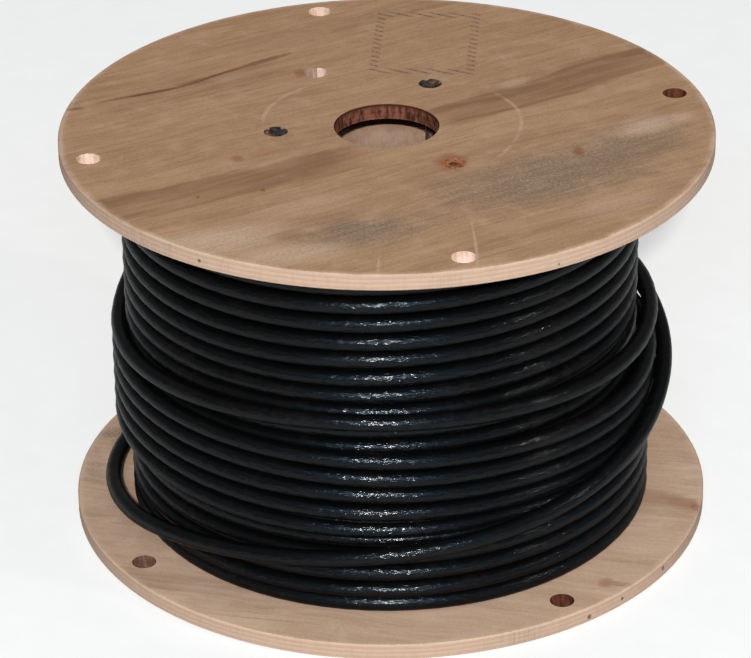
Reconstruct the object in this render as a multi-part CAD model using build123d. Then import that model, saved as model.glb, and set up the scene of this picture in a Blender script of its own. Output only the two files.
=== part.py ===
"""Plywood cable drum standing on its end, wound with black cable.

Millimetres. The origin is the centre of the bottom flange's underside and +Z runs up the drum's axis.
Seen from the front (from -Y), +X is to the right, and angles turn from +X towards the back.
"""

import math
import os

from build123d import *

# Flanges
flange_diameter = 508
flange_thickness = 13
flange_edge_break = 1
traverse = 300
arbor_diameter = 82
rim_hole_diameter = 19
rim_hole_inset = 20.5
rim_hole_count = 4
top_rim_angle = 13.5
bottom_rim_angle = 34
start_hole_diameter = 20
start_hole_angle = 119
start_hole_land = 2.5

# Core tube and the ring that each flange has for it
core_diameter = 209
core_wall = 9.5
core_seat_depth = 4

# Tie bolts and their nuts
bolt_diameter = 8
bolt_wall_gap = 5
bolt_sides = ("back", "left", "front")
first_bolt_angle = 66
bolt_head_diameter = 20
bolt_head_height = 3.2
bolt_head_rim = 1.2
bolt_end_depth = 1
nut_plate_diameter = 18
nut_plate_thickness = 1.5
nut_barrel_diameter = 11
nut_barrel_length = 8
nut_notch_diameter = 5
prong_count = 4
prong_width = 4
prong_thickness = 1.2
prong_length = 5

# Cable
cable_diameter = 13
layer_count = 9
turn_count = 20
raised_grooves = range(5, 11)
coil_shift = 6
low_turn_rise = 5
low_turn_shift = 5
crest_share = 0.56
groove_depth_share = 0.2
arc_run_share = 0.45

# Fits
fit_clearance = 0.3
cut_overrun = 5

# Sizes that follow
flange_radius = flange_diameter / 2
core_radius = core_diameter / 2
core_inner_radius = core_radius - core_wall
bolt_circle_radius = core_inner_radius - bolt_wall_gap - bolt_diameter / 2
rim_circle_radius = flange_radius - rim_hole_inset
start_hole_radius = core_radius + start_hole_land + start_hole_diameter / 2
top_flange_base = flange_thickness + traverse
overall_height = top_flange_base + flange_thickness

cable_radius = cable_diameter / 2
winding_base = flange_thickness + fit_clearance
winding_height = traverse - fit_clearance - fit_clearance
turn_pitch = winding_height / turn_count
layer_step = math.sqrt(cable_diameter**2 - (turn_pitch / 2) ** 2)
winding_bore_radius = core_radius + fit_clearance
winding_radius = winding_bore_radius + cable_diameter + layer_step * (layer_count - 1)
raised_radius = winding_radius + layer_step
low_turn_radius = winding_radius + low_turn_rise
bolt_angles = {side: first_bolt_angle + turn * 360 / len(bolt_sides) for turn, side in enumerate(bolt_sides)}


def spot(radius, angle, height=0):
    """Point at a radius and angle about the drum's axis."""
    turn = math.radians(angle)
    return (radius * math.cos(turn), radius * math.sin(turn), height)


def post(radius, base, length, place=(0, 0, 0)):
    """Upright cylinder with its base at a height, over a place."""
    return Pos(place[0], place[1], base) * Cylinder(
        radius, length, align=(Align.CENTER, Align.CENTER, Align.MIN)
    )


def ring(outer_radius, inner_radius, base, length):
    """Upright tube about the drum's axis."""
    return post(outer_radius, base, length) - post(inner_radius, base, length)


def through_holes(diameter, base, places):
    """Cutters for plain holes through one flange."""
    return [
        post(diameter / 2, base - cut_overrun, flange_thickness + cut_overrun + cut_overrun, place)
        for place in places
    ]


def rim_places(first_angle):
    return [
        spot(rim_circle_radius, first_angle + step * 360 / rim_hole_count) for step in range(rim_hole_count)
    ]


def bolt_places():
    return [spot(bolt_circle_radius, angle) for angle in bolt_angles.values()]


def flange_blank(base, rim_angle, bolt_hole_diameter):
    """Plywood disc with eased rims, the arbor hole, the rim holes and the bolt holes."""
    disc = post(flange_radius, base, flange_thickness)
    disc = chamfer(disc.edges(), flange_edge_break)
    disc -= through_holes(arbor_diameter, base, [(0, 0)])
    disc -= through_holes(rim_hole_diameter, base, rim_places(rim_angle))
    disc -= through_holes(bolt_hole_diameter, base, bolt_places())
    return disc


def core_seat(base, length):
    """Routed ring that locates the end of the core."""
    return ring(core_radius + fit_clearance, core_inner_radius - fit_clearance, base, length)


def prongs(angle, grown=0):
    """The four prongs of a tee nut, from its plate down, each turned to face the nut's axis."""
    centre = Pos(*spot(bolt_circle_radius, angle, overall_height - nut_plate_thickness)) * Rot(0, 0, angle)
    reach = nut_plate_diameter / 2 - prong_thickness / 2
    blade = Box(
        prong_thickness + grown + grown,
        prong_width + grown + grown,
        prong_length + grown,
        align=(Align.CENTER, Align.CENTER, Align.MAX),
    )
    return [centre * spoke * blade for spoke in PolarLocations(reach, prong_count)]


def make_top_flange():
    flange = flange_blank(top_flange_base, top_rim_angle, nut_barrel_diameter + fit_clearance + fit_clearance)
    flange -= through_holes(start_hole_diameter, top_flange_base, [spot(start_hole_radius, start_hole_angle)])
    flange -= core_seat(top_flange_base, core_seat_depth)
    plate_seat_radius = nut_plate_diameter / 2 + fit_clearance
    for angle in bolt_angles.values():
        place = spot(bolt_circle_radius, angle)
        flange -= post(plate_seat_radius, overall_height - nut_plate_thickness, cut_overrun, place)
        flange -= prongs(angle, fit_clearance)
    return flange


def make_bottom_flange():
    flange = flange_blank(0, bottom_rim_angle, bolt_diameter + fit_clearance + fit_clearance)
    flange -= core_seat(flange_thickness - core_seat_depth, core_seat_depth)
    recess_depth = bolt_head_height + fit_clearance
    recess_radius = bolt_head_diameter / 2 + fit_clearance
    for place in bolt_places():
        flange -= post(recess_radius, -cut_overrun, cut_overrun + recess_depth, place)
    return flange


def make_core():
    base = flange_thickness - core_seat_depth
    return ring(core_radius, core_inner_radius, base, traverse + core_seat_depth + core_seat_depth)


def make_tie_bolt(angle):
    """Long bolt, turned in one piece with a low domed head that seats in the bottom flange's recess."""
    seat = bolt_head_height + fit_clearance
    tip = overall_height - bolt_end_depth
    shank_radius = bolt_diameter / 2
    head_radius = bolt_head_diameter / 2
    with BuildSketch(Plane.XZ) as half:
        with BuildLine():
            dome = TangentArc((0, fit_clearance), (head_radius, seat - bolt_head_rim), tangent=(1, 0))
            Polyline(
                dome @ 1, (head_radius, seat), (shank_radius, seat), (shank_radius, tip), (0, tip), dome @ 0
            )
        make_face()
    return Pos(*spot(bolt_circle_radius, angle)) * revolve(half.sketch, Axis.Z)


def make_tee_nut(angle):
    """Lobed plate with a barrel and four prongs, flush with the drum's upper face."""
    place = spot(bolt_circle_radius, angle)
    plate_base = overall_height - nut_plate_thickness
    nut = post(nut_plate_diameter / 2, plate_base, nut_plate_thickness, place)
    for lobe in range(prong_count):
        notch = spot(nut_plate_diameter / 2, angle + (lobe + lobe + 1) * 180 / prong_count)
        notch_place = (place[0] + notch[0], place[1] + notch[1])
        notch_length = nut_plate_thickness + cut_overrun + cut_overrun
        nut -= post(nut_notch_diameter / 2, plate_base - cut_overrun, notch_length, notch_place)
    nut += post(nut_barrel_diameter / 2, plate_base - nut_barrel_length, nut_barrel_length, place)
    nut += prongs(angle)
    bore_base = plate_base - nut_barrel_length - cut_overrun
    bore_length = overall_height + cut_overrun - bore_base
    return nut - post(bolt_diameter / 2 + fit_clearance, bore_base, bore_length, place)


def shown_turns():
    """Middle height and outer radius of the turns that show: the low ones, then all above them.

    Raised turns lie in the grooves of the layer below them.
    """
    raised = [winding_base + groove * turn_pitch for groove in raised_grooves]
    level = [winding_base + turn_pitch / 2 + turn * turn_pitch for turn in range(turn_count)]
    low = [(middle, low_turn_radius) for middle in level if middle < raised[0]]
    high = [(middle, raised_radius) for middle in raised]
    high += [(middle, winding_radius) for middle in level if middle > raised[-1]]
    return low, high


def turns_side(turns):
    """Outside of a stack of turns, from the bottom up: crests with grooves between them."""
    half_crest = crest_share * turn_pitch / 2
    groove_depth = groove_depth_share * cable_diameter
    side = []
    for index, (middle, radius) in enumerate(turns):
        before = turns[index - 1][1] if index else 0
        after = turns[index + 1][1] if index + 1 < len(turns) else 0
        high = middle + half_crest if radius >= after else middle
        low = middle - half_crest if radius >= before else middle
        if radius > before:
            side.append((radius - groove_depth, middle - cable_radius))
        side += [(radius, low), (radius, high)]
        if radius > after:
            side.append((radius - groove_depth, middle + cable_radius))
        if radius == after:
            side.append((radius - groove_depth, middle + turn_pitch / 2))
    return side


def winding_end():
    """Radius and depth of the coil's ends: flat at the core, then a crest for every other layer."""
    half_crest = crest_share * turn_pitch / 4
    first = winding_bore_radius + cable_radius
    end = [(0, 0), (first + half_crest, 0)]
    for layer in range(1, layer_count):
        middle = first + layer * layer_step
        if layer % 2:
            end.append((middle, turn_pitch / 2))
        else:
            end += [(middle - half_crest, 0), (middle + half_crest, 0)]
    return end


def turned(*points):
    with BuildSketch(Plane.XZ) as half:
        with BuildLine():
            Polyline(*points, close=True)
        make_face()
    return revolve(half.sketch, Axis.Z)


def make_winding():
    """Loosely wound coil: its low turns and the turns above them lie about axes beside that of its bore."""
    low_turns, high_turns = shown_turns()
    join = high_turns[0][0] - cable_radius
    bottom = [(radius, winding_base + depth) for radius, depth in winding_end()]
    top = [(radius, winding_base + winding_height - depth) for radius, depth in reversed(winding_end())]
    low_side = [point for point in turns_side(low_turns) if point[1] < join]
    low_coil = turned(*bottom, *low_side, (low_turn_radius, join), (0, join))
    high_coil = turned((0, join), *turns_side(high_turns), *top)
    coil = Pos(0, -low_turn_shift, 0) * low_coil + Pos(-coil_shift, 0, 0) * high_coil
    bore_length = winding_height + cut_overrun + cut_overrun
    return coil - post(winding_bore_radius, winding_base - cut_overrun, bore_length)


# The slack turn's route: angle about the axis, gap between the raised turns and the cable as a share of the
# cable's diameter, and rise from where the cable lies on the bottom flange as a share of the traverse.
slack_route_shares = [
    (150, -0.31, 0.527),
    (128, -0.38, 0.527),
    (106, -0.42, 0.527),
    (84, -0.31, 0.531),
    (62, -0.15, 0.524),
    (40, -0.15, 0.477),
    (18, -0.15, 0.427),
    (-4, -0.15, 0.367),
    (-26, -0.15, 0.294),
    (-48, -0.08, 0.237),
    (-70, 0.04, 0.201),
    (-92, 0.08, 0.171),
    (-114, 0.08, 0.141),
    (-136, 0.08, 0.101),
    (-158, 0.23, 0.044),
    (-180, 0.38, 0.007),
    (-202, 0.19, 0),
    (-224, 0.08, 0),
    (-246, 0.08, 0),
]


def make_slack_turn():
    """Tube along straight runs joined by arcs as large as the runs allow."""
    step = math.radians(slack_route_shares[0][0] - slack_route_shares[1][0])
    lowest = flange_thickness + fit_clearance + cable_radius
    points = []
    for angle, gap_share, rise_share in slack_route_shares:
        middle_radius = raised_radius + gap_share * cable_diameter + cable_radius
        height = lowest + rise_share * traverse
        points.append(Vector(*spot(middle_radius / math.cos(step / 2), angle, height)))
    runs = [(end - start).length for start, end in zip(points, points[1:])]
    radius = min(runs) * arc_run_share / math.tan(step / 2)
    route = FilletPolyline(*points, radius=radius)
    section = Plane(origin=route @ 0, z_dir=route % 0) * Circle(cable_radius)
    return sweep(section, path=route)


def main():
    os.makedirs("parts", exist_ok=True)
    pieces = {
        "top_flange": make_top_flange(),
        "bottom_flange": make_bottom_flange(),
        "drum_core": make_core(),
        "cable_winding": make_winding(),
        "slack_turn": make_slack_turn(),
    }
    for side, angle in bolt_angles.items():
        pieces["tie_bolt_" + side] = make_tie_bolt(angle)
        pieces["tee_nut_" + side] = make_tee_nut(angle)
    for name, piece in pieces.items():
        export_step(piece, f"parts/{name}.step")


main()
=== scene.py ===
"""Looks of a plywood cable drum wound with black cable.

Metres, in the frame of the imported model: +Z runs up the drum's axis, and the front is -Y.
Angles turn from +X towards the back. Colours are written as sRGB, 0 to 255.
"""

import math
import random

import bpy
from mathutils import Matrix, Vector


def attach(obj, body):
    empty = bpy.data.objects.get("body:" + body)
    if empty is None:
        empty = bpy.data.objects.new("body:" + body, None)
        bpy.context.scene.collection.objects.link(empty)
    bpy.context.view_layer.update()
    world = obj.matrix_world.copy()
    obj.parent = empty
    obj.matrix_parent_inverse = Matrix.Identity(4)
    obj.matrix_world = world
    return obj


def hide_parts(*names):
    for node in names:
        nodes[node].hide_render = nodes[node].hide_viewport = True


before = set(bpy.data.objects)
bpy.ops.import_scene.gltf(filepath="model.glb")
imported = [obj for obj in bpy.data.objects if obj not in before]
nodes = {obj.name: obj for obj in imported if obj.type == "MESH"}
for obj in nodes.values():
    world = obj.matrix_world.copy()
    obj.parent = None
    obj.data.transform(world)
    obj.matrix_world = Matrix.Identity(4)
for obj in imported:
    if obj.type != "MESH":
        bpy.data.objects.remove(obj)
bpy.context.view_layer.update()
scene = bpy.context.scene
scene.view_settings.view_transform = "Standard"
dice = random.Random(11)

# Camera: photo width and focal length in pixels, distance from the upper face in flange radii, angles.
PHOTO_WIDTH = 751
FOCAL_LENGTH = 3604
SENSOR_WIDTH = 36
CAMERA_RADII = 11
CAMERA_ELEVATION, CAMERA_PITCH, CAMERA_YAW, CAMERA_ROLL = 24.74, 27.97, -0.24, 0.75

# Drum
FLANGE_RADIUS = 0.254
FLANGE_THICKNESS = 0.013
HEIGHT = 0.326
TRAVERSE = 0.3
RIM_CIRCLE = 0.2335
TOP_RIM_ANGLE = 13.5
BOTTOM_RIM_ANGLE = 34
BOLT_CIRCLE = 0.086
BOLT_ANGLES = {"back": 66, "left": 186, "front": 306}
# Half width of a mark of painted shade that covers a hole's wall, in flange radii, and the place of the
# painted shade on one side of the start hole.
HOLE_SHADE = 0.046
SHADED_CIRCLE, SHADED_ANGLE = 0.126, 121.5

# Winding
CABLE_RADIUS = 0.0065
BORE_RADIUS = 0.1048
WINDING_BASE = 0.0133
WINDING_LENGTH = 0.2994
TURNS = 20
TURN_PITCH = WINDING_LENGTH / TURNS
LAYER_STEP = 0.01063
OUTER_LAYER = 8
COIL_SHIFT = 0.006
# The lowest turns are wider and lie towards the front, fully so below one height and no more above another.
LOW_RISE = 0.005
LOW_SHIFT = 0.005
LOW_FULL, LOW_END = 0.086, 0.098
# Angles where the second and the outer layer start. The raised turns leave the outer layer at its own angle,
# and the two travels say over how many degrees they then go outwards and up.
SECOND_START = 200
FALL_START = 175
OUTWARD_TRAVEL = 40
CLIMB_TRAVEL = 150
RAISED_TURNS = 6
RAISED_STEP = 0.0114
RAISED_RADIUS = 0.21346
LAST_GROOVE = 10.2
# Lifts of the last raised turn, in grooves. How far the raised turns bulge: on the right, about an angle and
# between two cosines of the angle from it, and the last one also near its end and at it.
LAST_LIFT, END_LIFT = 1.25, 0.79
BULGE, BULGE_ANGLE, BULGE_COSINES = 0.005, 4, (0.3125, 0.9375)
LAST_BULGE, END_BULGE = 0.002, 0.0026
# How far the turns stray from even heights, slowly and quickly.
SLANT, TREMBLE = 0.0017, 0.00035
# Half the angle between two corners of the slack turn's route.
HALF_CORNER = 11
# Resolution of the tubes: steps in a turn, and sides.
STEPS = 72
HIDDEN_SIDES, OUTER_SIDES, SLACK_SIDES = 10, 14, 16

# Studio
FLOOR_HALF = 8.0
FLOOR_HEIGHT = -0.0005
AIM_HEIGHT = 0.16


# Camera

def make_camera():
    angles = (CAMERA_ELEVATION, CAMERA_PITCH, CAMERA_YAW, CAMERA_ROLL)
    elevation, pitch, yaw, roll = (math.radians(angle) for angle in angles)
    way = Vector((0, -math.cos(elevation), math.sin(elevation)))
    place = way * CAMERA_RADII * FLANGE_RADIUS + Vector((0, 0, HEIGHT))
    forward = Vector((math.sin(yaw) * math.cos(pitch), math.cos(yaw) * math.cos(pitch), -math.sin(pitch)))
    level = forward.cross(Vector((0, 0, 1))).normalized()
    steep = forward.cross(level)
    right = level * math.cos(roll) + steep * math.sin(roll)
    down = steep * math.cos(roll) - level * math.sin(roll)
    camera = bpy.data.objects.new("camera", bpy.data.cameras.new("camera"))
    camera.data.lens = FOCAL_LENGTH / PHOTO_WIDTH * SENSOR_WIDTH
    camera.data.sensor_width = SENSOR_WIDTH
    camera.matrix_world = Matrix.Translation(place) @ Matrix((right, -down, -forward)).transposed().to_4x4()
    scene.collection.objects.link(camera)
    scene.camera = camera


make_camera()


# Materials

def srgb(red, green, blue):
    def linear(value):
        value /= 255
        return value / 12.92 if value <= 0.04045 else ((value + 0.055) / 1.055) ** 2.4

    return (linear(red), linear(green), linear(blue), 1)


class Graph:
    """Node tree of one material, built by calls that return sockets."""

    def __init__(self, name, **constants):
        self.material = bpy.data.materials.new(name)
        self.material.use_nodes = True
        self.tree = self.material.node_tree
        self.tree.nodes.clear()
        self.shader = self.node("ShaderNodeBsdfPrincipled", constants)
        output = self.node("ShaderNodeOutputMaterial")
        self.tree.links.new(self.shader.outputs[0], output.inputs[0])

    def node(self, kind, inputs=None, **settings):
        made = self.tree.nodes.new(kind)
        for name, value in settings.items():
            setattr(made, name, value)
        for name, value in (inputs or {}).items():
            self.put(made.inputs[name], value)
        return made

    def put(self, socket, value):
        if isinstance(value, bpy.types.NodeSocket):
            self.tree.links.new(value, socket)
        else:
            socket.default_value = value

    def math(self, operation, a, b=0.0):
        return self.node("ShaderNodeMath", {0: a, 1: b}, operation=operation).outputs[0]

    def vector(self, operation, a, b=(0, 0, 0)):
        made = self.node("ShaderNodeVectorMath", {0: a, 1: b}, operation=operation)
        return made.outputs["Value" if operation in ("LENGTH", "DISTANCE", "DOT_PRODUCT") else "Vector"]

    def mix(self, share, a, b):
        return self.node("ShaderNodeMix", {0: share, 6: a, 7: b}, data_type="RGBA").outputs[2]

    def step(self, value, low, high, start=0.0, end=1.0):
        """Smooth rise of a value from start at low to end at high."""
        return self.node(
            "ShaderNodeMapRange",
            {"Value": value, "From Min": low, "From Max": high, "To Min": start, "To Max": end},
            interpolation_type="SMOOTHSTEP",
        ).outputs[0]

    def noise(self, vector, scale, detail=2.0, roughness=0.5, distortion=0.0):
        shape = {"Scale": scale, "Detail": detail, "Roughness": roughness, "Distortion": distortion}
        return self.node("ShaderNodeTexNoise", {"Vector": vector, **shape}).outputs[0]

    def local(self, vector, place, size, angle=0.0):
        """Coordinates about a place, turned by an angle and measured in a mark's half sizes."""
        return self.node(
            "ShaderNodeMapping",
            {"Vector": vector, "Location": place, "Rotation": (0, 0, math.radians(angle)), "Scale": size},
            vector_type="TEXTURE",
        ).outputs[0]

    def split(self, vector):
        return self.node("ShaderNodeSeparateXYZ", {0: vector}).outputs

    def join(self, x, y, z):
        return self.node("ShaderNodeCombineXYZ", {0: x, 1: y, 2: z}).outputs[0]

    def bump(self, height, distance, strength=1.0):
        shape = {"Height": height, "Distance": distance, "Strength": strength}
        return self.node("ShaderNodeBump", shape).outputs[0]

    def place_on(self):
        """Object coordinates in metres."""
        return self.node("ShaderNodeTexCoord").outputs["Object"]

    def finish(self, **inputs):
        for name, value in inputs.items():
            self.put(self.shader.inputs[name.replace("_", " ").title()], value)
        return self.material


def marks(graph, vector, ragged, table, softness):
    """Union of soft-edged elliptic marks: place, half length, half width, angle, strength."""
    total = None
    for x, y, long_half, wide_half, angle, strength in table:
        reach = graph.vector("LENGTH", graph.local(vector, (x, y, 0), (long_half, wide_half, 1), angle))
        spread = graph.math("ADD", reach, ragged)
        mark = graph.step(spread, 1 - softness, 1 + softness, strength, 0.0)
        total = mark if total is None else graph.math("MAXIMUM", total, mark)
    return total


def spot(radius, angle):
    return (radius * math.cos(math.radians(angle)), radius * math.sin(math.radians(angle)))


def hole_shade_mark(circle, angle, strength):
    """Mark of painted shade that covers a hole's wall, in flange radii."""
    x, y = spot(circle, angle)
    return (x / FLANGE_RADIUS, y / FLANGE_RADIUS, HOLE_SHADE, HOLE_SHADE, 0, strength)


# Marks on the flanges, in flange radii from the axis: place, half length, half width, angle, strength.
TOP_MARKS = {
    "bands": [
        (-0.488, -0.414, 0.46, 0.082, 26, 0.8),
        (0.518, 0.287, 0.48, 0.078, 34, 0.9),
        (-0.6, 0.3, 0.34, 0.05, 28, 0.3),
        (-0.1, 0.82, 0.5, 0.05, 30, 0.25),
        (0.55, -0.62, 0.4, 0.05, 27, 0.3),
    ],
    "crack": [
        (-0.727, 0.272, 0.14, 0.008, 25, 0.95),
        (-0.47, 0.427, 0.19, 0.008, 35, 0.95),
        (-0.38, 0.492, 0.09, 0.013, 36, 1.0),
        (-0.6, 0.34, 0.07, 0.01, 32, 0.9),
        (-0.96, 0.147, 0.03, 0.01, 20, 0.8),
    ],
    "dirt": [
        (-0.074, -0.727, 0.16, 0.085, 16, 1.0),
        (-0.16, -0.76, 0.1, 0.04, 16, 0.6),
        (0.1, -0.66, 0.1, 0.05, 24, 0.5),
        (0.48, -0.37, 0.32, 0.14, 28, 1.0),
        (0.68, -0.2, 0.24, 0.11, 38, 0.9),
        (0.28, -0.48, 0.1, 0.05, 24, 0.6),
    ],
    "rust": [
        (-0.446, -0.227, 0.02, 0.022, 20, 0.6),
        (-0.286, -0.741, 0.05, 0.025, 24, 0.4),
        (0.573, -0.198, 0.016, 0.026, 0, 0.7),
        (-0.555, -0.485, 0.006, 0.01, 0, 0.7),
        (-0.365, -0.443, 0.007, 0.01, 0, 0.8),
        (0.19, -0.265, 0.05, 0.05, 0, 0.7),
        (-0.27, 0.4, 0.016, 0.03, 0, 0.6),
        (-0.37, -0.19, 0.09, 0.02, 26, 0.25),
    ],
    "pale": [
        (-0.029, -0.93, 0.004, 0.05, 0, 0.5),
        (0.245, -0.83, 0.004, 0.136, 0, 0.55),
        (0.8, -0.026, 0.09, 0.05, 30, 0.7),
        (0.9, 0.02, 0.05, 0.03, 40, 0.5),
        (0.396, 0.313, 0.05, 0.022, 32, 0.45),
        (-0.5, -0.77, 0.2, 0.08, 22, 0.75),
        (-0.3, -0.86, 0.14, 0.06, 12, 0.65),
        (0.68, -0.55, 0.14, 0.05, 30, 0.35),
        (-0.25, -0.55, 0.14, 0.05, 26, 0.3),
    ],
}
BOTTOM_MARKS = {
    "bands": [(0.75, -0.18, 0.3, 0.06, -20, 0.3), (-0.7, -0.62, 0.3, 0.05, -12, 0.25)],
    "crack": [
        (0.7, -0.674, 0.025, 0.004, -15, 0.35),
        (0.69, -0.65, 0.02, 0.003, 10, 0.3),
    ],
    "dirt": [
        (-0.9, 0.29, 0.06, 0.03, 20, 1.0),
        (-0.88, 0.25, 0.03, 0.04, 0, 0.8),
        (-0.955, 0.06, 0.03, 0.08, 0, 0.4),
    ],
    "rust": [
        (0.93, -0.2, 0.07, 0.035, -20, 0.42),
        (0.85, -0.165, 0.1, 0.04, -22, 0.26),
        (0.965, -0.222, 0.025, 0.022, -20, 0.7),
        (0.655, -0.662, 0.026, 0.02, 60, 0.5),
        (0.7, -0.672, 0.035, 0.012, -15, 0.45),
    ],
    "pale": [
        (0.975, 0.012, 0.035, 0.012, 0, 0.9),
        (0.98, -0.04, 0.03, 0.01, 0, 0.9),
        (0.965, -0.165, 0.03, 0.01, 0, 0.9),
        (0.81, -0.45, 0.1, 0.05, -12, 0.6),
        (0.72, -0.58, 0.1, 0.03, -25, 0.4),
        (0.66, -0.72, 0.06, 0.012, -10, 0.7),
        (-0.55, -0.8, 0.2, 0.05, -30, 0.3),
    ],
}
# Small knots in the rims: angle, share of the thickness, radius in metres.
TOP_KNOTS = [(-122.5, 0.45, 0.0016), (-61.0, 0.3, 0.0009)]
BOTTOM_KNOTS = [(-53.5, 0.35, 0.0022), (-45.6, 0.5, 0.0017), (-33.4, 0.6, 0.002)]


def plywood(
    name, base, marks_table, knots, grain_angle, light, dark, contrast, scuff, shaded_holes,
    stamp=None, rubbed=False,
):
    """Rotary-cut veneer on the faces, plies on the rim and rough bores in the holes, with painted shade on
    the walls of the listed holes, a painted highlight along the arbor's upper edge and wear with a painted
    highlight along the faces' outer edge.
    """
    g = Graph(name, **{"Specular IOR Level": 0.1})
    metres = g.place_on()
    flat = g.vector("MULTIPLY", metres, (1 / FLANGE_RADIUS, 1 / FLANGE_RADIUS, 0))
    drift = g.node("ShaderNodeTexNoise", {"Vector": flat, "Scale": 1.8, "Detail": 1.0}).outputs["Color"]
    drift = g.vector("MULTIPLY", g.vector("SUBTRACT", drift, (0.5, 0.5, 0.5)), (0.07, 0.07, 0))
    bent = g.vector("ADD", flat, drift)
    along = g.local(bent, (0, 0, 0), (1, 1, 1), grain_angle)

    grain = g.noise(g.vector("MULTIPLY", along, (6, 52, 1)), 1.0, 4.0, 0.65)
    streak = g.noise(g.vector("MULTIPLY", along, (1.5, 17, 1)), 1.0, 3.0, 0.55, 0.3)
    band = g.noise(g.vector("MULTIPLY", along, (0.6, 4.5, 1)), 1.0, 2.0, 0.5, 0.5)
    speck = g.noise(flat, 110.0, 3.0, 0.7)
    hairs = g.noise(g.vector("MULTIPLY", along, (2.4, 95, 1)), 1.0, 2.0)
    patch = g.noise(flat, 9.0, 5.0, 0.65, 0.3)

    tone = g.math("ADD", g.math("MULTIPLY", grain, 0.3), g.math("MULTIPLY", streak, 0.2))
    tone = g.math("ADD", tone, g.math("MULTIPLY", band, 0.22))
    tone = g.math("ADD", tone, g.math("MULTIPLY", speck, 0.28))
    face = g.mix(g.step(tone, 0.5 - contrast, 0.5 + contrast), dark, light)
    hair = g.step(hairs, 0.6, 0.72)
    face = g.mix(g.math("MULTIPLY", hair, 0.2), face, srgb(112, 80, 58))
    face = g.mix(g.step(patch, 0.45, 0.75, 0.0, 0.4), face, scuff)

    ragged = g.math("MULTIPLY", g.math("SUBTRACT", patch, 0.5), 1.5)
    grained = g.math("MULTIPLY", g.math("SUBTRACT", grain, 0.5), 1.0)
    bands = strips(g, bent, g.math("MULTIPLY", grained, 0.5), marks_table["bands"])
    face = g.mix(g.math("MULTIPLY", bands, g.step(streak, 0.35, 0.62, 0.75, 0.4)), face, srgb(121, 87, 62))
    dirt = marks(g, flat, ragged, marks_table["dirt"], 0.85)
    soil = g.math("ADD", g.math("MULTIPLY", grain, 0.25), g.math("MULTIPLY", speck, 0.75))
    face = g.mix(g.math("MULTIPLY", dirt, g.step(soil, 0.36, 0.62, 0.8, 0.3)), face, srgb(106, 97, 88))
    face = g.mix(g.math("MULTIPLY", dirt, g.step(soil, 0.55, 0.7, 0.0, 0.5)), face, srgb(170, 155, 143))
    pale = marks(g, bent, g.math("MULTIPLY", ragged, 0.7), marks_table["pale"], 0.7)
    if rubbed:
        pale = g.math("MAXIMUM", pale, rub(g, bent, patch))
    face = g.mix(g.math("MULTIPLY", pale, g.step(soil, 0.35, 0.6, 0.45, 0.8)), face, srgb(206, 178, 156))
    rust = marks(g, flat, g.math("MULTIPLY", ragged, 0.6), marks_table["rust"], 0.55)
    face = g.mix(g.math("MULTIPLY", rust, 0.8), face, srgb(128, 70, 36))
    crack = marks(g, bent, g.math("MULTIPLY", ragged, 0.6), marks_table["crack"], 0.5)
    face = g.mix(g.math("MULTIPLY", crack, g.step(streak, 0.3, 0.55, 0.9, 0.6)), face, srgb(92, 58, 38))
    if stamp is not None:
        face = g.mix(g.math("MULTIPLY", ink(g, flat, speck, stamp), 0.75), face, srgb(78, 66, 60))

    reach = g.vector("LENGTH", flat)
    # Wear and a painted highlight: a lighter, patchy band along the rounded outer edge of the faces.
    worn_and_edge_highlight = g.math("MULTIPLY", g.step(reach, 0.976, 0.996), g.step(patch, 0.35, 0.6, 0.1, 0.7))
    face = g.mix(worn_and_edge_highlight, face, srgb(200, 170, 146))

    height = g.math("DIVIDE", g.math("SUBTRACT", g.split(metres)[2], base), FLANGE_THICKNESS)
    waver = g.math("MULTIPLY", g.math("SUBTRACT", g.noise(metres, 14.0, 2.0), 0.5), 0.16)
    ply = g.math("FRACT", g.math("MULTIPLY", g.math("ADD", height, waver), 3.5))
    long_grain = g.noise(g.vector("MULTIPLY", metres, (60, 60, 700)), 1.0, 4.0, 0.6)
    end_grain = g.noise(g.vector("MULTIPLY", metres, (330, 330, 90)), 1.0, 3.0, 0.6)
    glue = g.step(g.math("ABSOLUTE", g.math("SUBTRACT", ply, 0.5)), 0.0, 0.07, 1.0, 0.0)
    side = g.mix(g.step(ply, 0.46, 0.54), srgb(182, 154, 134), srgb(174, 145, 124))
    seam = g.math("MULTIPLY", glue, g.step(long_grain, 0.4, 0.65, 0.05, 0.35))
    side = g.mix(seam, side, srgb(140, 106, 82))
    side = g.mix(g.step(end_grain, 0.45, 0.75, 0.0, 0.3), side, srgb(160, 129, 108))
    side = g.mix(g.step(long_grain, 0.5, 0.8, 0.0, 0.35), side, srgb(204, 180, 162))
    rubs = g.step(g.noise(metres, 11.0, 4.0, 0.6), 0.5, 0.72)
    scuffed = g.math("MULTIPLY", rubs, g.step(speck, 0.4, 0.7, 0.1, 0.6))
    side = g.mix(scuffed, side, srgb(134, 118, 104))
    for angle, share, radius in knots:
        x, y = spot(FLANGE_RADIUS, angle)
        away = g.vector("DISTANCE", metres, (x, y, base + share * FLANGE_THICKNESS))
        side = g.mix(g.step(away, 0.6 * radius, 1.2 * radius, 0.8, 0.0), side, srgb(84, 60, 46))

    hole = g.mix(g.step(end_grain, 0.35, 0.7), srgb(222, 193, 176), srgb(196, 158, 136))
    # Painted shade: darker walls in the listed holes, where light does not reach in.
    hole_shade = g.mix(g.step(end_grain, 0.35, 0.65), srgb(100, 56, 38), srgb(60, 32, 22))
    hole = g.mix(marks(g, flat, 0.0, shaded_holes, 0.02), hole, hole_shade)
    arbor = g.mix(g.step(end_grain, 0.35, 0.68), srgb(122, 74, 56), srgb(56, 30, 23))
    arbor = g.mix(g.math("MULTIPLY", glue, 0.7), arbor, srgb(44, 23, 17))
    arbor = g.mix(g.step(height, 0.72, 0.9), arbor, srgb(62, 33, 24))
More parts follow.
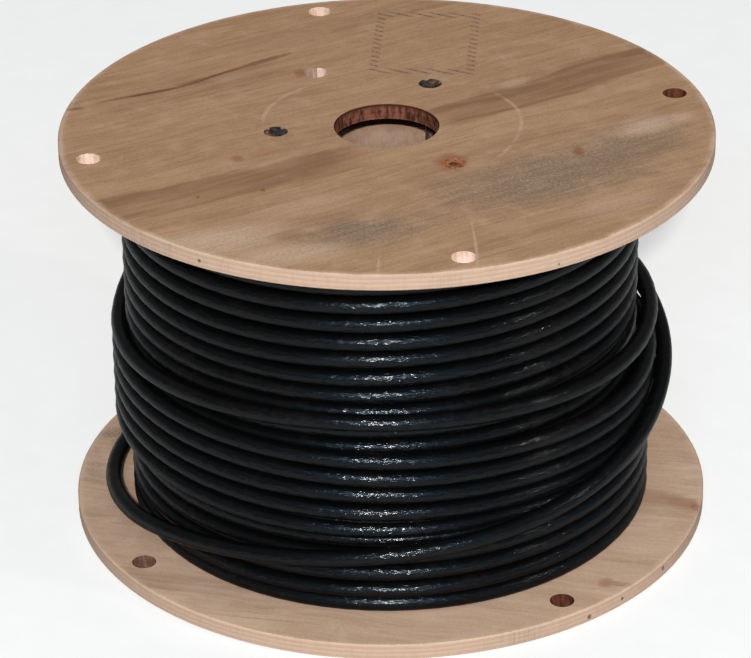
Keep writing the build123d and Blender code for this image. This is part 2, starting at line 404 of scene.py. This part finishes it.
    # Painted highlight: a light line along the arbor wall's upper edge.
    arbor = g.mix(g.step(height, 0.95, 0.99), arbor, srgb(150, 96, 66))
    hole = g.mix(g.step(reach, 0.19, 0.18), hole, arbor)
    side = g.mix(g.step(reach, 0.965, 0.955), side, hole)

    upright = g.math("ABSOLUTE", g.split(g.node("ShaderNodeNewGeometry").outputs["Normal"])[2])
    on_face = g.step(upright, 0.55, 0.85)
    colour = g.mix(on_face, side, face)

    face_height = g.math("ADD", g.math("MULTIPLY", grain, 0.7), g.math("MULTIPLY", speck, 0.2))
    face_height = g.math("SUBTRACT", face_height, g.math("MULTIPLY", hair, 0.3))
    face_height = g.math("SUBTRACT", face_height, g.math("MULTIPLY", crack, 1.5))
    side_height = g.math("SUBTRACT", g.math("MULTIPLY", end_grain, 0.9), g.math("MULTIPLY", glue, 0.4))
    side_height = g.math("MULTIPLY", g.math("SUBTRACT", 1.0, on_face), side_height)
    relief = g.math("ADD", g.math("MULTIPLY", on_face, face_height), side_height)
    roughness = g.step(streak, 0.3, 0.7, 0.66, 0.8)
    return g.finish(base_color=colour, roughness=roughness, normal=g.bump(relief, 0.0005, 0.5))


def strips(g, vector, ragged, table):
    """Straight strips with clear long edges and soft ends, from the same kind of table as marks."""
    total = None
    for x, y, long_half, wide_half, angle, strength in table:
        length, width, unused = g.split(g.local(vector, (x, y, 0), (long_half, wide_half, 1), angle))
        across = g.math("ADD", g.math("ABSOLUTE", width), ragged)
        ends = g.step(g.math("ABSOLUTE", length), 0.8, 1.1, 1.0, 0.0)
        strip = g.math("MULTIPLY", g.step(across, 0.85, 1.1, strength, 0.0), ends)
        total = strip if total is None else g.math("MAXIMUM", total, strip)
    return total


def rub(g, flat, patch):
    """Thin broken ring rubbed round the arbor, on the left at the back and on the right."""
    middle = g.local(flat, (0.016, 0.0, 0), (1, 1, 1))
    x, y, unused = g.split(middle)
    away = g.math("ABSOLUTE", g.math("SUBTRACT", g.vector("LENGTH", middle), 0.395))
    ring = g.step(away, 0.003, 0.009, 0.45, 0.0)
    left = g.math("MULTIPLY", g.step(x, -0.2, -0.26), g.step(y, -0.06, 0.0))
    right = g.step(x, 0.3, 0.34)
    arcs = g.math("MULTIPLY", ring, g.math("MAXIMUM", left, right))
    return g.math("MULTIPLY", arcs, g.step(patch, 0.38, 0.55, 0.2, 1.0))


def ink(g, flat, grit, stamp):
    """Faded hatched frame, without any wording."""
    x, y, unused = g.split(g.local(flat, *stamp))
    outside = g.math("MAXIMUM", g.math("ABSOLUTE", x), g.math("ABSOLUTE", y))
    frame_band = g.math("MULTIPLY", g.step(outside, 0.8, 0.84), g.step(outside, 1.0, 0.97))
    slant = g.math("ADD", g.math("MULTIPLY", x, 16.0), g.math("MULTIPLY", y, 46.0))
    strokes = g.step(g.math("SINE", slant), 0.1, 0.7)
    return g.math("MULTIPLY", g.math("MULTIPLY", frame_band, strokes), g.step(grit, 0.38, 0.62, 0.1, 1.0))


def cable_jacket(name):
    """Black jacket drawn tight over strands: a soft blue sheen under a thin gloss that sparkles on them."""
    g = Graph(
        name,
        **{
            "Specular IOR Level": 0.055, "Specular Tint": (0.3, 0.65, 1.0, 1),
            "Coat Weight": 0.042, "Coat Roughness": 0.15, "Coat IOR": 3.0,
        },
    )
    length, around, unused = g.split(g.node("ShaderNodeTexCoord").outputs["UV"])
    metres = g.place_on()
    turn = g.math("MULTIPLY", around, 2 * math.pi)
    skin = g.noise(metres, 120.0, 3.0, 0.6)
    kinks = g.noise(metres, 30.0, 3.0, 0.55)
    wrap = g.join(
        g.math("MULTIPLY", length, 140.0),
        g.math("MULTIPLY", g.math("COSINE", turn), 3.4),
        g.math("MULTIPLY", g.math("SINE", turn), 3.4),
    )
    strand = g.noise(wrap, 1.0, 2.0, 0.5)
    dust = g.math("MULTIPLY", g.step(g.noise(metres, 17.0, 4.0, 0.6), 0.45, 0.75), g.step(skin, 0.4, 0.7))
    colour = g.mix(g.math("MULTIPLY", dust, 0.5), srgb(6, 6, 6), srgb(32, 24, 17))
    colour = g.mix(g.step(g.noise(metres, 8.0, 2.0), 0.5, 0.7, 0.0, 0.4), colour, srgb(6, 10, 14))
    gloss = g.math("ADD", g.step(skin, 0.3, 0.7, 0.36, 0.44), g.math("MULTIPLY", dust, 0.15))
    soft = g.bump(g.math("ADD", g.math("MULTIPLY", strand, 0.15), kinks), 0.0005, 0.5)
    sharp = g.bump(g.math("ADD", strand, kinks), 0.0009, 1.0)
    return g.finish(base_color=colour, roughness=gloss, normal=soft, coat_normal=sharp)


def steel(name, bright, dark, rust_share, roughness):
    """Plated steel gone dull, with rust."""
    g = Graph(name)
    metres = g.place_on()
    stain = g.noise(metres, 260.0, 5.0, 0.65)
    spread = g.noise(metres, 90.0, 4.0, 0.6)
    colour = g.mix(g.step(stain, 0.35, 0.65), dark, bright)
    rust = g.step(g.math("ADD", spread, rust_share - 0.5), 0.45, 0.6)
    rust_colour = g.mix(g.step(stain, 0.35, 0.65), srgb(112, 58, 28), srgb(171, 103, 58))
    colour = g.mix(rust, colour, rust_colour)
    metal = g.math("MULTIPLY", g.math("SUBTRACT", 1.0, rust), 0.85)
    dull = g.math("ADD", g.step(stain, 0.3, 0.7, roughness, roughness + 0.15), g.math("MULTIPLY", rust, 0.25))
    return g.finish(base_color=colour, metallic=metal, roughness=dull, normal=g.bump(stain, 0.0003, 0.5))


def core_board(name):
    """Spirally wound board, with its seams."""
    g = Graph(name, **{"Specular IOR Level": 0.2})
    metres = g.place_on()
    x, y, z = g.split(metres)
    turn = g.math("DIVIDE", g.math("ARCTAN2", y, x), 2 * math.pi)
    seam = g.math("FRACT", g.math("ADD", turn, g.math("MULTIPLY", z, 9.0)))
    edge = g.step(g.math("ABSOLUTE", g.math("SUBTRACT", seam, 0.5)), 0.475, 0.497)
    mottle = g.noise(metres, 70.0, 6.0, 0.7)
    fibre = g.noise(g.vector("MULTIPLY", metres, (700, 700, 160)), 1.0, 3.0, 0.6)
    colour = g.mix(g.step(mottle, 0.3, 0.7), srgb(134, 106, 88), srgb(160, 130, 109))
    colour = g.mix(g.step(fibre, 0.45, 0.75, 0.0, 0.35), colour, srgb(128, 98, 82))
    colour = g.mix(g.math("MULTIPLY", edge, 0.7), colour, srgb(92, 66, 54))
    relief = g.math("SUBTRACT", g.math("MULTIPLY", fibre, 0.4), edge)
    roughness = g.step(mottle, 0.3, 0.7, 0.6, 0.8)
    return g.finish(base_color=colour, roughness=roughness, normal=g.bump(relief, 0.0005, 0.5))


def floor_paint(name):
    """Pale paint, lifted for the camera and for reflections, that keeps the drum's shadow."""
    g = Graph(name, **{"Specular IOR Level": 0.1})
    metres = g.place_on()
    grain = g.noise(metres, 30.0, 4.0, 0.6)
    colour = g.mix(grain, srgb(188, 188, 187), srgb(193, 193, 192))
    path = g.node("ShaderNodeLightPath").outputs
    seen = g.math("MAXIMUM", path["Is Camera Ray"], path["Is Glossy Ray"])
    seen = g.math("MAXIMUM", seen, path["Is Transmission Ray"])
    lift = g.math("MULTIPLY", seen, 0.88)
    roughness = g.step(grain, 0.3, 0.7, 0.6, 0.7)
    return g.finish(base_color=colour, roughness=roughness, emission_color=colour, emission_strength=lift)


def paint(piece, material):
    piece.data.materials.clear()
    piece.data.materials.append(material)


top_wood = plywood(
    "top_plywood", HEIGHT - FLANGE_THICKNESS, TOP_MARKS, TOP_KNOTS, grain_angle=30,
    light=srgb(182, 144, 111), dark=srgb(145, 111, 83), contrast=0.17, scuff=srgb(188, 156, 130),
    # Painted shade in the rim hole, on the start hole's side and in the bolt holes.
    shaded_holes=[
        hole_shade_mark(RIM_CIRCLE, TOP_RIM_ANGLE, 1.0),
        hole_shade_mark(SHADED_CIRCLE, SHADED_ANGLE, 0.6),
        *(hole_shade_mark(BOLT_CIRCLE, angle, 0.7) for angle in BOLT_ANGLES.values()),
    ],
    stamp=((0.127, 0.63, 0), (0.17, 0.25, 1), -4), rubbed=True,
)
bottom_wood = plywood(
    "bottom_plywood", 0.0, BOTTOM_MARKS, BOTTOM_KNOTS, grain_angle=-14,
    light=srgb(201, 168, 143), dark=srgb(168, 137, 114), contrast=0.18, scuff=srgb(208, 180, 156),
    # Painted shade in the two rim holes.
    shaded_holes=[
        hole_shade_mark(RIM_CIRCLE, BOTTOM_RIM_ANGLE + 270, 1.0),
        hole_shade_mark(RIM_CIRCLE, BOTTOM_RIM_ANGLE + 180, 0.9),
    ],
)
paint(nodes["top_flange"], top_wood)
paint(nodes["bottom_flange"], bottom_wood)
paint(nodes["drum_core"], core_board("core_board"))
jacket = cable_jacket("cable_jacket")
dull_steel = steel("dull_steel", srgb(96, 90, 86), srgb(46, 42, 41), 0.42, 0.55)
rusty_steel = steel("rusty_steel", srgb(120, 96, 80), srgb(70, 48, 38), 0.85, 0.5)
bolt_steel = steel("bolt_steel", srgb(120, 112, 104), srgb(60, 52, 48), 0.45, 0.4)
for side in BOLT_ANGLES:
    paint(nodes["tie_bolt_" + side], bolt_steel)
    paint(nodes["tee_nut_" + side], rusty_steel if side == "front" else dull_steel)


# Cable

def tube(points, radius, sides, mesh_lists, length=0.0):
    """Adds a round tube along points to lists of vertices, faces and texture places."""
    vertices, faces, places = mesh_lists
    first = len(vertices)
    last = len(points) - 1
    lengths = [length]
    for before, after in zip(points, points[1:]):
        lengths.append(lengths[-1] + (after - before).length)
    for i, point in enumerate(points):
        run = (points[min(i + 1, last)] - points[max(i - 1, 0)]).normalized()
        outward = Vector((point.x, point.y, 0))
        outward = (outward - run * outward.dot(run)).normalized()
        upward = run.cross(outward)
        for side in range(sides):
            turn = 2 * math.pi * side / sides
            vertices.append(point + (outward * math.cos(turn) + upward * math.sin(turn)) * radius)
    for i in range(last):
        for side in range(sides):
            after = (side + 1) % sides
            low, high = first + i * sides, first + (i + 1) * sides
            faces.append((low + side, high + side, high + after, low + after))
            u0, u1, v0, v1 = lengths[i], lengths[i + 1], side / sides, (side + 1) / sides
            places += [(u0, v0), (u1, v0), (u1, v1), (u0, v1)]
    for ring, order in ((0, 1), (last, -1)):
        start = first + ring * sides
        cap = tuple(range(start, start + sides))[::order]
        faces.append(cap)
        places += [(lengths[ring], 0.0)] * sides
    return lengths[-1]


def mesh_piece(name, mesh_lists, material, replaced):
    """Piece from lists of vertices, faces and texture places, shown instead of a packed one."""
    vertices, faces, places = mesh_lists
    mesh = bpy.data.meshes.new(name)
    mesh.from_pydata([tuple(v) for v in vertices], [], faces)
    layer = mesh.uv_layers.new(name="UVMap")
    layer.data.foreach_set("uv", [value for place in places for value in place])
    mesh.polygons.foreach_set("use_smooth", [True] * len(mesh.polygons))
    piece = bpy.data.objects.new(name, mesh)
    scene.collection.objects.link(piece)
    paint(piece, material)
    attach(piece, "root")
    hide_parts(replaced)


# The slack turn's route: angle, gap outside the raised turns as a share of the cable's diameter, and rise
# from where the cable lies on the bottom flange as a share of the space between the flanges.
SLACK_ROUTE = [
    (150, -0.31, 0.527), (128, -0.38, 0.527), (106, -0.42, 0.527), (84, -0.25, 0.531), (62, -0.04, 0.524),
    (40, -0.04, 0.477), (18, -0.06, 0.427), (-4, -0.06, 0.367), (-26, -0.06, 0.294), (-48, -0.04, 0.237),
    (-70, 0.04, 0.201), (-92, 0.08, 0.171), (-114, 0.08, 0.141), (-136, 0.08, 0.101), (-158, 0.23, 0.044),
    (-180, 0.38, 0.007), (-202, 0.19, 0), (-224, 0.08, 0), (-246, 0.08, 0),
]


def layer_radius(layer):
    return BORE_RADIUS + CABLE_RADIUS + layer * LAYER_STEP


def smooth(share):
    share = min(max(share, 0.0), 1.0)
    return share * share * (3 - 2 * share)


def fade(value, start, end):
    """Smooth rise from 0 where the value is at start to 1 at end."""
    return smooth((value - start) / (end - start))


LOW_TURN = WINDING_BASE + TURN_PITCH / 2
HIGH_TURN = WINDING_BASE + TURN_PITCH * (TURNS - 0.5)
sway_phase = [dice.uniform(0, 2 * math.pi) for unused in range(4)]


def sway(angle, height):
    """Slow slant of neighbouring turns, in metres of height, that dies out at the flanges."""
    level = (height - LOW_TURN) / (HIGH_TURN - LOW_TURN)
    free = math.sin(math.pi * min(max(level, 0.0), 1.0))
    slant = math.sin(angle + 5.0 * level + sway_phase[0])
    slant += 0.5 * math.sin(2 * angle - 9.0 * level + sway_phase[1])
    tremble = math.sin(5 * angle + 31.0 * level + sway_phase[2])
    tremble += math.sin(3 * angle - 47.0 * level + sway_phase[3])
    return free * (SLANT * slant + TREMBLE * tremble)


def round_axis(angle, radius, height):
    return Vector((radius * math.cos(angle), radius * math.sin(angle), height))


def on_coil(angle, radius, height, low):
    """Point of the coil, which lies to the left of the axis, or in the low turns wider and to the front."""
    shift = Vector((-COIL_SHIFT * (1 - low), -LOW_SHIFT * low, 0))
    return round_axis(angle, radius + LOW_RISE * low, height) + shift


def lowness(height):
    return fade(height, LOW_END, LOW_FULL)


def slack_place(angle, gap, rise, half_corner):
    """Corner of the route, so far out that the lines between corners touch the wanted circle."""
    reach = (RAISED_RADIUS + (2 * gap + 1) * CABLE_RADIUS) / math.cos(math.radians(half_corner))
    return round_axis(math.radians(angle), reach, WINDING_BASE + CABLE_RADIUS + rise * TRAVERSE)


def slack_controls():
    """Places of the route's corners, the first two so that the slack turn goes on from the raised turns."""
    angle, gap, rise = SLACK_ROUTE[0]
    short = HALF_CORNER / 2
    onward = [slack_place(angle, gap, rise, 0), slack_place(angle - short, gap, rise, short)]
    return onward + [slack_place(*corner, HALF_CORNER) for corner in SLACK_ROUTE[1:]]


def outer_turns():
    """One cable: the outer layer from the top flange down, then the raised turns on their way up again."""
    points = []
    start = math.radians(FALL_START)
    falling = STEPS * TURNS
    for i in range(falling + 1):
        share = min(max((i - STEPS / 2) / (falling - STEPS), 0.0), 1.0)
        angle = start - 2 * math.pi * i / STEPS
        height = HIGH_TURN + (LOW_TURN - HIGH_TURN) * share
        height += sway(angle, height)
        points.append(on_coil(angle, layer_radius(OUTER_LAYER), height, lowness(height)))
    climb = math.radians(CLIMB_TRAVEL)
    travel = math.radians(FALL_START - SLACK_ROUTE[0][0] + RAISED_TURNS * 360)
    last = WINDING_BASE + TURN_PITCH * LAST_GROOVE
    raised = last - TURN_PITCH * (travel - climb) / (2 * math.pi)
    rising = round(STEPS * travel / (2 * math.pi))
    for i in range(1, rising + 1):
        travelled = travel * i / rising
        angle = start - travelled
        height = LOW_TURN + (raised - LOW_TURN) * smooth(travelled / climb)
        height += TURN_PITCH * max(0.0, travelled - climb) / (2 * math.pi)
        # The last raised turn lifts off its neighbour and bulges by how many degrees are left to its end.
        left = math.degrees(travel - travelled)
        lift = LAST_LIFT * fade(left, 320, 220) * fade(left, 30, 115) + END_LIFT * fade(left, 28, 0)
        height += lift * TURN_PITCH + sway(angle, height) * fade(left, 0, 115)
        loose = BULGE * fade(math.cos(angle - math.radians(BULGE_ANGLE)), *BULGE_COSINES)
        loose += END_BULGE * fade(left, 40, 0) + LAST_BULGE * fade(left, 220, 130) * fade(left, 40, 130)
        outward = smooth(travelled / math.radians(OUTWARD_TRAVEL))
        radius = layer_radius(OUTER_LAYER) + (RAISED_STEP + loose) * outward
        points.append(on_coil(angle, radius, height, 1 - outward))
    points[-1] = slack_controls()[0]
    return points


def second_layer():
    """The layer below, in the outer layer's grooves."""
    points = []
    turns = TURNS - 1
    for i in range(STEPS * turns + 1):
        angle = math.radians(SECOND_START) - 2 * math.pi * i / STEPS
        height = LOW_TURN + TURN_PITCH / 2 + (turns - 1) * TURN_PITCH * i / (STEPS * turns)
        height += sway(angle, height)
        points.append(on_coil(angle, layer_radius(OUTER_LAYER - 1), height, lowness(height)))
    return points


def end_turn(layer, height):
    """Ring for a turn of an inner layer that shows at the coil's end."""
    return [round_axis(2 * math.pi * i / STEPS, layer_radius(layer), height) for i in range(STEPS + 1)]


def smooth_line(name, controls):
    """Points along a smooth spline whose control points are given."""
    curve = bpy.data.curves.new(name, "CURVE")
    curve.dimensions = "3D"
    spline = curve.splines.new("NURBS")
    spline.points.add(len(controls) - 1)
    for point, place in zip(spline.points, controls):
        point.co = (*place, 1)
    spline.order_u = 3
    spline.use_endpoint_u = True
    spline.resolution_u = 8
    line = bpy.data.objects.new(name, curve)
    mesh = bpy.data.meshes.new_from_object(line)
    points = [v.co.copy() for v in mesh.vertices]
    bpy.data.meshes.remove(mesh)
    bpy.data.objects.remove(line)
    bpy.data.curves.remove(curve)
    return points


winding = ([], [], [])
run = tube(second_layer(), CABLE_RADIUS, HIDDEN_SIDES, winding)
tube(outer_turns(), CABLE_RADIUS, OUTER_SIDES, winding, run)
for layer in range(OUTER_LAYER - 1):
    inset = TURN_PITCH / 2 if layer % 2 else 0.0
    for height in (LOW_TURN + inset, HIGH_TURN - inset):
        tube(end_turn(layer, height), CABLE_RADIUS, HIDDEN_SIDES, winding)
mesh_piece("cable_turns", winding, jacket, "cable_winding")
slack = ([], [], [])
tube(smooth_line("slack_line", slack_controls()), CABLE_RADIUS, SLACK_SIDES, slack)
mesh_piece("slack_turn_cable", slack, jacket, "slack_turn")


# Floor, lamps and world

def make_floor():
    mesh = bpy.data.meshes.new("floor")
    signs = ((-1, -1), (1, -1), (1, 1), (-1, 1))
    corners = [(x * FLOOR_HALF, y * FLOOR_HALF, FLOOR_HEIGHT) for x, y in signs]
    mesh.from_pydata(corners, [], [(0, 1, 2, 3)])
    floor = bpy.data.objects.new("floor", mesh)
    scene.collection.objects.link(floor)
    paint(floor, floor_paint("floor_paint"))


def lamp(name, azimuth, elevation, distance, size, power, colour):
    """Rectangular lamp that faces the drum."""
    light = bpy.data.lights.new(name, "AREA")
    light.shape = "RECTANGLE"
    light.size, light.size_y = size
    light.energy = power
    light.color = colour
    aim = Vector((0, 0, AIM_HEIGHT))
    turn, rise = math.radians(azimuth), math.radians(elevation)
    way = Vector((math.cos(turn) * math.cos(rise), math.sin(turn) * math.cos(rise), math.sin(rise)))
    made = bpy.data.objects.new(name, light)
    made.location = aim + way * distance
    made.rotation_euler = (-way).to_track_quat("-Z", "Y").to_euler()
    scene.collection.objects.link(made)


def make_world(strength):
    world = bpy.data.worlds.new("studio")
    world.use_nodes = True
    background = world.node_tree.nodes["Background"]
    background.inputs[0].default_value = (1.0, 1.0, 1.0, 1)
    background.inputs[1].default_value = strength
    scene.world = world


make_floor()
lamp("key", -90.5, 30, 8.0, (0.3, 0.12), 660, (1.0, 0.96, 0.91))
lamp("fill", -90, 33, 7.0, (4.0, 0.7), 200, (0.52, 0.78, 1.0))
lamp("side", -22, 34, 5.0, (0.2, 0.1), 32, (1.0, 0.96, 0.9))
make_world(0.22)
